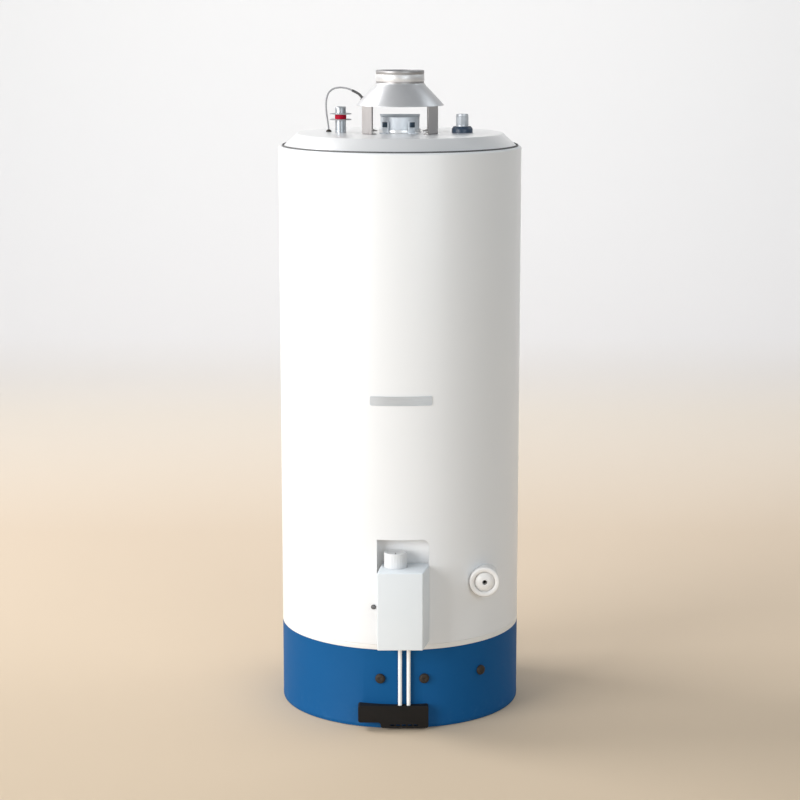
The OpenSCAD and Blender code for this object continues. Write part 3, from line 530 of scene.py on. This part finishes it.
def buildSkirt():
    r, low, high = skirt["radius"], skirt["low"], skirt["high"]
    vents, ventHeight = skirt["vents"], skirt["ventHeight"]
    rings = [(r - 1.1, low + 0.3), (r - 0.8, low), (r - 0.3, low), (r, low + 0.4), (r, low + 4)]
    rings += [(r + 0.25, low + 4.6), (r + 0.25, low + 6.4), (r, low + 7)]
    rings += [(r, high - 0.5), (r - 0.5, high), (r - 1.1, high)]
    shell = turned("skirtShell", rings, segments=192)
    x0, z0, x1, z1 = skirt["opening"]
    cutAway(shell, block("opening", (x0, -270, z0), (x1, -200, z1)))
    hole = rod("ventHole", (0, 0), skirt["ventRadius"], 200, 270)
    cutAway(shell, aroundSkirt("ventHoles", hole, vents, ventHeight))
    settle(shell, "heater", "skirt_blue", "skirt")

    rings = [(9.6, 248.4), (9.8, 249.6), (10.4, 250.9), (11.4, 251.1), (12.6, 250.3), (13.2, 249.5),
             (12, 248.4)]
    rim = turned("ventRim", rings, segments=40)
    settle(aroundSkirt("ventRims", rim, vents, ventHeight), "heater", "skirt_blue")

    rings = [(7.4, 245), (7.8, 246), (7.8, 250.4), (9.9, 250.5), (10.3, 251.2), (10.3, 252.4)]
    rings += softCorner((10.1, 253.2), (9.6, 256.6), (4.4, 257.1), 6)
    rings += [(3.0, 256.9), (2.2, 256.1), (1.0, 255.9)]
    plug = turned("plug", rings, segments=48, solid=True)
    plugs = aroundSkirt("skirtPlugs", plug, skirt["plugs"], skirt["plugHeight"])
    settle(plugs, "heater", "rubber_brown", "skirt_plugs")

    rings = [(246.6, 160), (248.6, 160), (248.6, 166.1), (249.3, 166.15)]
    rings += softCorner((249.8, 166.6), (250.5, 171.5), (249.8, 176.4), 8)
    rings += [(249.3, 176.85), (248.6, 176.9), (248.6, 183), (246.6, 183)]
    settle(turned("trimRing", rings, segments=192), "heater", "trim", "trim_ring")


buildSkirt()
print("skirt")


# access cover: a stepped black box with rounded corners, open at the back

accessCover = dict(upper=(-85.5, 16.4, 58, 52), lower=(-39.6, 5, 58, 30), front=-262, wall=1.5, corner=5,
                   tubes=(0, 17.5), slots=5, slotPitch=12, slotStart=-20, slotLength=8.5)


def steppedBlock(name, inset, front, back):
    def part(span):
        x0, z0, x1, z1 = span
        return block(name, (x0 + inset, front, z0 + inset), (x1 - inset, back, z1 - inset))
    whole = part(accessCover["upper"])
    addTo(whole, part(accessCover["lower"]))
    editAll(whole)
    bpy.ops.mesh.dissolve_limited(angle_limit=0.02)
    pickEdges(whole, lambda p: True, depthOnly=True)
    bevelPicked(max(accessCover["corner"] - inset, 1), 6)
    return whole


def buildAccessCover():
    front, wall = accessCover["front"], accessCover["wall"]
    cover = steppedBlock("accessCover", 0, front, -226)
    roundEdges(cover, 1.1, 3, 60)
    cutAway(cover, steppedBlock("hollow", wall, front + wall, -210))
    cutAway(cover, rod("skirtRound", (0, 0), 250.35, -20, 80, 256))
    for x in accessCover["tubes"]:
        cutAway(cover, block("tubeSlot", (x - 4.6, -260.2, 46), (x + 4.6, -200, 60)))
    for i in range(accessCover["slots"]):
        x = accessCover["slotStart"] + accessCover["slotPitch"] * i
        cutAway(cover, block("slot", (x, -270, 9.6), (x + accessCover["slotLength"], -255, 12.6)))
    settle(cover, "front_cover", "cover_black", "access_cover")


buildAccessCover()
print("access cover")


# valve cover: drafted box whose sides lean to the right as they go back

valveCover = dict(low=(-46, -305, 182), high=(46, -224.5, 342), leftShift=9, rightShift=17.6, lap=57.6,
                  wall=1.5, round=2.4, knob=(-9, -250), knobHole=24.2, pipe=(0, -272, 235), pipeHole=15)


def draftedBlock(name, inset, back):
    low, high = Vector(valveCover["low"]), Vector(valveCover["high"])
    piece = block(name, (low.x + inset, low.y + inset, low.z + inset), (high.x - inset, back, high.z - inset))
    reach = (back - low.y - inset) / (high.y - low.y)
    for side, shift in ((-1, valveCover["leftShift"]), (1, valveCover["rightShift"])):
        pickEdges(piece, lambda p: p.x * side > 0 and p.y > -230)
        bpy.ops.transform.translate(value=(shift * reach * mm, 0, 0))
        bpy.ops.object.mode_set(mode="OBJECT")
    return piece


def buildValveCover():
    cover = draftedBlock("valveCover", 0, -216)
    roundEdges(cover, valveCover["round"], 4)
    cutAway(cover, draftedBlock("hollow", valveCover["wall"], -210))
    cutAway(cover, block("backCut", (-90, valveCover["high"][1], 150), (90, -190, 380)))
    # the foot clears the jacket all the way across, and the rest only to the right of the lap
    cutAway(cover, rod("jacketRound", (0, 0), 250.4, 170, 188.5, 256))
    face = rod("jacketFace", (0, 0), 250.4, 160, 360, 256)
    cutAway(face, block("otherSide", (-270, -270, 150), (valveCover["lap"], 270, 370)))
    cutAway(cover, face)
    cutAway(cover, rod("knobHole", valveCover["knob"], valveCover["knobHole"], 330, 350, 96))
    pipeHole = rod("pipeHole", (0, 0), valveCover["pipeHole"], -60, -20)
    cutAway(cover, turnTo(pipeHole, (0, 90, 0), valveCover["pipe"]))
    for x in accessCover["tubes"]:
        cutAway(cover, block("tubeSlot", (x - 5.5, -260.5, 175), (x + 5.5, -230, 186)))
    settle(cover, "heater", "cover_plastic", "valve_cover")


buildValveCover()


# control knob: fluted drum with a dished cap and a pointer

knob = dict(radius=23.2, foot=334, top=372, flutes=24, fluteRadius=1.5, bore=4.06, pointer=(6, 16.5, 2.2))


def buildKnob():
    x, y = valveCover["knob"]
    r, foot, top = knob["radius"], knob["foot"], knob["top"]
    rings = [(r - 2, foot), (r - 0.6, foot + 0.6), (r, foot + 2), (r - 0.1, foot + 9)]
    rings += softCorner((r - 0.2, top - 2), (r - 0.3, top), (r - 2.4, top), 5)
    rings += [(r - 5, top - 0.05), (r - 5.6, top - 0.4), (9, top - 0.45), (1.5, top - 0.45)]
    drum = turned("controlKnob", rings, at=(x, y, 0), segments=120, solid=True)
    count, fluteRadius = knob["flutes"], knob["fluteRadius"]
    cutAway(drum, rodsAround("flutes", (x, y), r + 0.75, count, fluteRadius, foot + 10, top + 5, 16))
    cutAway(drum, rod("bore", (x, y), knob["bore"], foot - 5, 345.2))
    settle(drum, "knob", "knob_plastic", "control_knob")
    near, far, width = knob["pointer"]
    low, high = (x - width / 2, y - far, top - 1.6), (x + width / 2, y - near, top - 0.05)
    pointer = block("knobPointer", low, high, 0.4)
    settle(pointer, "knob", "button_plastic")


buildKnob()


# igniter: bezel and domed button

igniter = dict(bezel=246.9, bore=3.36, button=249.8, buttonRadius=3.3)


def buildIgniter():
    rim, top, r = igniter["bezel"], igniter["button"], igniter["buttonRadius"]
    rings = [(4.8, 218), (5.4, 218.6), (5.4, rim - 4.5), (4.3, rim - 4.3), (4.3, rim - 1.3), (4.9, rim - 1.3),
             (5.1, rim - 0.9), (4.9, rim - 0.2), (4.2, rim)]
    body = turned("igniterBody", rings, segments=48, solid=True)
    cutAway(body, rod("bore", (0, 0), igniter["bore"], 231, 260))
    settle(faceFront(body, jacket["igniter"]), "heater", "igniter_plastic", "igniter_body")
    rings = [(r, 235), (r, top - 1.4)] + softCorner((r - 0.05, top - 1), (r - 0.3, top), (0.6, top), 5)
    button = turned("igniterButton", rings, segments=40, solid=True)
    settle(faceFront(button, jacket["igniter"]), "igniter_plunger", "button_plastic", "igniter_button")


buildIgniter()
print("controls")


# drain cock: shroud square to the front, hand wheel and domed outlet

drain = dict(shroud=28, wheel=31, mouth=5, grips=24, gripRadius=1.7)


def buildDrain():
    place, k, w, m = jacket["drain"], drain["shroud"], drain["wheel"], drain["mouth"]
    rings = [(k, 110), (k, 204.6)] + arcRings((k - 2, 205), 2, 0, 90, 5)
    rings += [(12.8, 207), (12.6, 206.6), (12.6, 205.4), (k - 1.6, 205.4), (k - 1.6, 110)]
    shroud = faceFront(turned("drainShroud", rings, segments=96), place)
    cutAway(shroud, rod("jacketRound", (0, 0), 250.3, 200, 400, 256))
    settle(shroud, "heater", "drain_white", "drain_shroud")

    rings = [(12.06, 208.6), (w - 3, 208.6), (w - 0.8, 209.4), (w, 211.4), (w, 214.6)]
    rings += softCorner((w - 0.2, 216), (w - 0.6, 219), (w - 4, 219.2), 6)
    rings += softCorner((24.6, 218.9), (21.2, 218.4), (20.9, 215.4), 5) + [(20.9, 212.6), (12.06, 212.6)]
    wheel = turned("drainWheel", rings, segments=144)
    cutAway(wheel, rodsAround("grips", (0, 0), w + 1.2, drain["grips"], drain["gripRadius"], 200, 230, 20))
    settle(faceFront(wheel, place), "drain_handle", "drain_white", "drain_wheel")

    rings = [(m, 200), (8, 198), (8, 180), (4, 180), (4, 176), (12, 176), (12, 213.6), (19, 213.6)]
    rings += [(19.6, 213.8)] + arcRings((6.2, 203.4), 17.2, 40, 88, 12) + [(6.4, 221), (5.6, 221), (m, 220.4)]
    body = turned("drainBody", rings, segments=96)
    settle(faceFront(body, place), "heater", "drain_white", "drain_body")


buildDrain()
print("drain cock")


# water connections

connections = dict(thread=dict(radius=13.2, low=1211.5, high=1233.2, pitch=1.81, depth=0.75),
                   flanges=(1222, 1233.6), flangeRadius=22.3)


def threadRings(radius, low, high, pitch, depth):
    rings, z = [], low
    while z + pitch <= high:
        rings += [(radius - depth, z), (radius, z + pitch * 0.42), (radius, z + pitch * 0.58)]
        z += pitch
    return rings + [(radius - depth, z)]


def buildConnections():
    cold, hot = (*lid["cold"], 0), (*lid["hot"], 0)
    rings = [(10.2, 1110), (12.6, 1110), (12.6, 1210)] + threadRings(**connections["thread"])
    rings += [(12.2, 1233.6), (11.8, 1234), (10.4, 1234), (10.2, 1233.6)]
    settle(turned("coldNipple", rings, at=cold), "heater", "galvanised", "cold_nipple")
    rings = [(13.4, 1196.05), (21.3, 1196.05), (21.6, 1196.4), (21.6, 1203.4), (21.3, 1204.2), (18.5, 1208.4),
             (17.8, 1209), (14, 1209), (13.4, 1208.4)]
    settle(turned("coldCollar", rings, at=cold, segments=72), "heater", "collar_navy", "cold_collar")

    rings = [(9, 1110), (11, 1110), (11, 1221.5), (11.4, 1222), (11.4, 1223.6), (9, 1223.6)]
    settle(turned("hotNipple", rings, at=hot), "heater", "hot_steel", "hot_nipple")
    rings = [(9, 1233.6), (11.4, 1233.6), (11.4, 1235.2), (11, 1235.7), (11, 1248.4), (10.6, 1249),
             (9.4, 1249), (9, 1248.6)]
    settle(turned("hotTail", rings, at=hot), "heater", "hot_steel", "hot_tail")
    w = connections["flangeRadius"]
    flange = turned("hotFlange", [(11.5, 0), (w - 0.3, 0), (w, 0.3), (w, 1.3), (w - 0.3, 1.6), (11.5, 1.6)])
    flanges = repeated("hotFlanges", flange, [((0, 0, 0), (*lid["hot"], z)) for z in connections["flanges"]])
    settle(flanges, "heater", "lead_grey")
    rings = [(9, 1223.8), (11.3, 1223.8)] + softCorner((11.5, 1223.9), (12.1, 1228.6), (11.5, 1233.3), 6)
    rings += [(11.3, 1233.4), (9, 1233.4)]
    settle(turned("hotRing", rings, at=hot), "heater", "red_rubber", "hot_gasket")


buildConnections()


# flue clips and their square-headed screws

clips = dict(angles=(-41, 32, 180), flue=40, width=16, height=26, corner=4, screwHeight=18, head=10.4)


def buildClips():
    f, top, half, side = clips["flue"], lid["top"], clips["width"] / 2, clips["head"] / 2
    turns = [((0, 0, azimuth), (0, 0, 0)) for azimuth in clips["angles"]]
    screwPlace = (0, 0, top + clips["screwHeight"])
    clip = block("clip", (-half, -f - 5.2, top), (half, -f - 3.6, top + clips["height"]))
    pickEdges(clip, lambda p: p.z > top + 20, depthOnly=True)
    bevelPicked(clips["corner"], 5)
    addTo(clip, block("foot", (-half, -f - 16, top), (half, -f - 4, top + 1.6)))
    roundEdges(clip, 0.4, 2, 50)
    cutAway(clip, faceFront(rod("hole", (0, 0), 2.7, f, f + 10), screwPlace))
    settle(repeated("flueClips", clip, turns), "heater", "flue_steel", "flue_clips")

    head = block("head", (-side, -side, f + 5.5), (side, side, f + 9.3))
    roundEdges(head, 0.5, 2, 50)
    rings = [(2.6, f + 5.2), (5, f + 5.2), (5.1, f + 5.3), (5, f + 5.45), (2.6, f + 5.45)]
    washer = turned("washer", rings, segments=32)
    shank = turned("shank", [(2.4, f + 0.3), (2.4, f + 5.8)], segments=20, solid=True)
    screw = faceFront(joined("screw", head, washer, shank), screwPlace)
    settle(repeated("clipScrews", screw, turns), "heater", "screw_dark", "clip_screws")


buildClips()
print("lid fittings")


# draught hood: cone, spigot with its sleeve, four bent legs

hood = dict(foot=1252, height=44, wide=90, spigot=50, rim=1323, band=(5, 19), legAngle=48.7, legWidth=30,
            legScrews=(-8, 8))


def buildHood():
    z0, w, s, rim = hood["foot"], hood["wide"], hood["spigot"], hood["rim"]
    neck = z0 + hood["height"]
    rings = [(w - 1.2, z0 + 0.4), (w - 0.8, z0), (w - 0.2, z0), (w, z0 + 0.4), (w - 0.3, z0 + 1.6)]
    rings += softCorner((s + 4, neck - 4.4), (s, neck), (s, neck + 0.8), 5)
    rings += [(s, neck + 1), (s - 1.2, neck + 1), (s - 1.2, neck - 0.6)]
    settle(turned("hoodCone", rings, segments=144), "heater", "hood_steel", "hood_cone")

    # the spigot's darker grey, showing above and below the light sleeve, is painted shade for the bead and
    # the shadow beneath it
    rings = [(s - 1.5, neck + 1), (s - 0.7, neck + 1), (s - 0.7, rim - 6), (s - 0.35, rim - 5.4)]
    rings += softCorner((s - 0.3, rim - 4), (s - 0.2, rim), (s - 1.2, rim), 5)
    rings += softCorner((s - 1.7, rim), (s - 2.6, rim), (s - 1.6, rim - 4), 4)
    settle(turned("hoodSpigot", rings, segments=144), "heater", "spigot_steel", "hood_spigot")
    low, high = (neck + z for z in hood["band"])
    rings = [(s - 0.65, low), (s - 0.2, low), (s, low + 0.3), (s, high - 0.3), (s - 0.2, high),
             (s - 0.65, high)]
    settle(turned("spigotSleeve", rings, segments=144), "heater", "band_steel", "spigot_band")

    half, top, a = hood["legWidth"] / 2, lid["top"], hood["legAngle"]
    turns = [((0, 0, azimuth), (0, 0, 0)) for azimuth in (-a, a, 180 - a, 180 + a)]
    leg = block("leg", (-half, -w + 0.2, top), (half, -w + 1.7, z0))
    addTo(leg, block("foot", (-half, -w + 0.2, top), (half, -w + 13.6, top + 1.5)))
    pickEdges(leg, lambda p: abs(p.y + w - 0.2) < 0.05 and abs(p.z - top) < 0.05)
    bevelPicked(1.4, 4)
    roundEdges(leg, 0.3, 2, 50)
    # the legs' grey-mauve is painted shade on galvanised steel
    settle(repeated("hoodLegs", leg, turns), "heater", "leg_steel", "hood_legs")

    rings = [(3.6, top + 1.5), (3.9, top + 2)]
    rings += softCorner((3.8, top + 2.8), (3.2, top + 4), (0.6, top + 4.1), 5)
    screw = turned("screw", rings, segments=24, solid=True)
    pair = repeated("pair", screw, [((0, 0, 0), (x, -w + 8, 0)) for x in hood["legScrews"]])
    settle(repeated("legScrews", pair, turns), "heater", "screw_zinc")


buildHood()


# spill sensor on the slope of the hood

sensor = dict(reach=80.91, height=1262, azimuth=-22, gap=0.4, screws=(-7.4, 7.4))


def buildSensor():
    rings = [(5.6, 1), (6.2, 1.6), (6.2, 3.6), (5.6, 4.2), (3.4, 4.6), (2.6, 5.2), (2.6, 6.6), (1.9, 6.8)]
    cap = turned("sensorCap", rings, segments=32, solid=True)
    plate = block("sensorPlate", (-5, -9, 0), (5, 9, 1), 0.3)
    screw = turned("sensorScrew", [(1.9, 1), (2, 1.8), (1.2, 2.3)], segments=16, solid=True)
    screws = repeated("sensorScrews", screw, [((0, 0, 0), (0, y, 0)) for y in sensor["screws"]])
    whole = joined("spillSensor", cap, plate, screws)
    tilt = 90 - math.degrees(math.atan2(hood["height"], hood["wide"] - hood["spigot"]))
    turnTo(whole, at=(0, 0, sensor["gap"]))
    turnTo(whole, (0, -tilt, 0), (-sensor["reach"], 0, sensor["height"]))
    turnTo(whole, (0, 0, sensor["azimuth"]))
    settle(whole, "heater", "sensor_black", "spill_sensor")


buildSensor()


# stiff capillary from the sensor over to the lid, down behind the jacket and round to the control

leadRoute = [(-79.6, 32.1, 1267.2), (-83.9, 33.9, 1272.2), (-90, 35.5, 1276), (-99, 37.5, 1280.5),
             (-108, 38.5, 1284), (-118, 39, 1286), (-128, 38.8, 1286), (-138, 38, 1283.5),
             (-146, 36.5, 1277.5), (-151, 34.5, 1267), (-153, 32.5, 1252), (-152, 30.5, 1234),
             (-149.5, 29, 1216), (-147.6, 28, 1200), (-148, 28, 1184), (-151, 28, 1171),
             (-160, 28, 1163), (-175, 28, 1160), (-219, 28, 1160), (-230, 28, 1157), (-236, 28, 1146),
             (-236, 28, 1120), (-236, 28, 190)]
lead = dict(radius=1.9, ferrule=2.7, ferruleEnd=4, level=177, steps=28,
            rise=[(7, -237.4, 179), (9, -237, 186), (9, -237, 205.9)])


def tube(name, route, radius):
    curve = bpy.data.curves.new(name, "CURVE")
    curve.dimensions = "3D"
    curve.bevel_depth = radius * mm
    curve.bevel_resolution = 4
    curve.resolution_u = 6
    curve.use_fill_caps = True
    line = curve.splines.new("BEZIER")
    line.bezier_points.add(len(route) - 1)
    for point, place in zip(line.bezier_points, route):
        point.co = Vector(place) * mm
        point.handle_left_type = point.handle_right_type = "AUTO"
    piece = bpy.data.objects.new(name, curve)
    bpy.context.scene.collection.objects.link(piece)
    makeActive(piece)
    bpy.ops.object.convert(target="MESH")
    piece = bpy.context.object
    tidyMesh(piece)
    return piece


def buildLead():
    # the arc runs at one level from where the route ends to the front, along the jacket's inside
    x, y = leadRoute[-1][:2]
    reach = math.hypot(x, y)
    start = -90 - math.degrees(math.atan(-y / x))
    below = []
    for i in range(lead["steps"] + 1):
        a = math.radians(start * (1 - i / lead["steps"]))
        below.append((reach * math.sin(a), -reach * math.cos(a), lead["level"]))
    route = leadRoute + below + lead["rise"]
    settle(tube("sensorLead", route, lead["radius"]), "heater", "lead_grey", "sensor_lead")
    settle(tube("leadFerrule", leadRoute[:lead["ferruleEnd"]], lead["ferrule"]), "heater", "sensor_black")


buildLead()
print("hood")


# floor and backdrop in one sweep

floor = dict(width=24, front=-10, back=4.0, bend=3.0, steps=16, wall=8, roughness=0.85, fade=(-1.0, 7.0),
             near=(0.66, 0.525, 0.375, 1), far=(0.88, 0.88, 0.88, 1),
             tints={0.3: (0.65, 0.53, 0.405, 1), 0.52: (0.74, 0.67, 0.585, 1), 0.7: (0.82, 0.8, 0.79, 1)})


def floorPaper():
    # sand colour near the object that fades to a pale grey further back
    material = bpy.data.materials.new("stagePaper")
    material.use_nodes = True
    tree = material.node_tree
    shader = tree.nodes["Principled BSDF"]
    shader.inputs["Roughness"].default_value = floor["roughness"]
    place = tree.nodes.new("ShaderNodeTexCoord")
    split = tree.nodes.new("ShaderNodeSeparateXYZ")
    tree.links.new(place.outputs["Object"], split.inputs["Vector"])
    reach = tree.nodes.new("ShaderNodeMapRange")
    reach.inputs["From Min"].default_value, reach.inputs["From Max"].default_value = floor["fade"]
    tree.links.new(split.outputs["Y"], reach.inputs["Value"])
    ramp = tree.nodes.new("ShaderNodeValToRGB")
    stops = ramp.color_ramp.elements
    stops[0].color = floor["near"]
    stops[1].color = floor["far"]
    for spot, tint in floor["tints"].items():
        stops.new(spot).color = tint
    tree.links.new(reach.outputs["Result"], ramp.inputs["Fac"])
    tree.links.new(ramp.outputs["Color"], shader.inputs["Base Color"])
    return material


def buildStage():
    deselectAll()
    front, back, bend, steps = (floor[k] for k in ("front", "back", "bend", "steps"))
    bpy.ops.mesh.primitive_plane_add(size=1, location=(0, (front + back) / 2, 0))
    sweep = bpy.context.object
    sweep.name = "floorSweep"
    sweep.scale = (floor["width"], back - front, 1)
    applyPlace(sweep)
    pickEdges(sweep, lambda p: p.y * mm > back - 0.1)
    last = (back, 0.0)
    for i in range(1, steps + 1):
        a = math.pi / 2 * i / steps
        here = (back + bend * math.sin(a), bend - bend * math.cos(a))
        step = (0, here[0] - last[0], here[1] - last[1])
        bpy.ops.mesh.extrude_edges_move(TRANSFORM_OT_translate={"value": step})
        last = here
    bpy.ops.mesh.extrude_edges_move(TRANSFORM_OT_translate={"value": (0, 0, floor["wall"])})
    bpy.ops.object.mode_set(mode="OBJECT")
    bpy.ops.object.shade_smooth()
    sweep.data.materials.append(floorPaper())


buildStage()
print("floor")


# camera, lamps and room light

camera = dict(place=(0, -4.46, 1.46), lookAt=(0, 0, 0.6366), lens=97)
room = dict(tint=(0.92, 0.96, 1.0, 1), strength=0.26)
lamps = dict(
    key=dict(place=(-5.9, -4.7, 2.4), lookAt=(0, 0, 0.7), size=(4.8, 4.2), watts=525, tint=(0.98, 0.99, 1.0)),
    fill=dict(place=(2.6, -5.6, 2.2), lookAt=(0, 0, 0.7), size=(3.2, 3.0), watts=84, tint=(0.86, 0.94, 1.0)),
    wash=dict(place=(3.4, 0.6, 3.0), lookAt=(1.8, -0.6, 0), size=(2.0, 2.0), watts=26, tint=(0.9, 0.96, 1.0)),
    top=dict(place=(-3.0, 0.8, 3.2), lookAt=(0, 0.1, 1.2), size=(1.8, 1.8), watts=92, tint=(1.0, 1.0, 1.0)),
    back=dict(place=(0, 1.0, 4.6), lookAt=(0, 6.5, 2.6), size=(5.0, 1.6), watts=180, tint=(1.0, 0.99, 0.99)),
)


def aim(thing, place, target):
    thing.location = place
    thing.rotation_euler = (Vector(target) - Vector(place)).to_track_quat("-Z", "Y").to_euler()


def buildView():
    bpy.ops.object.camera_add()
    view = bpy.context.object
    view.data.lens = camera["lens"]
    view.data.clip_end = 100
    aim(view, camera["place"], camera["lookAt"])
    bpy.context.scene.camera = view
    for name, lamp in lamps.items():
        bpy.ops.object.light_add(type="AREA")
        light = bpy.context.object
        light.name = name
        light.data.shape = "RECTANGLE"
        light.data.size, light.data.size_y = lamp["size"]
        light.data.energy = lamp["watts"]
        light.data.color = lamp["tint"]
        aim(light, lamp["place"], lamp["lookAt"])
    world = bpy.data.worlds.new("studio")
    world.use_nodes = True
    sky = world.node_tree.nodes["Background"]
    sky.inputs["Color"].default_value = room["tint"]
    sky.inputs["Strength"].default_value = room["strength"]
    bpy.context.scene.world = world
    bpy.context.scene.view_settings.view_transform = "Standard"


buildView()
print("view")
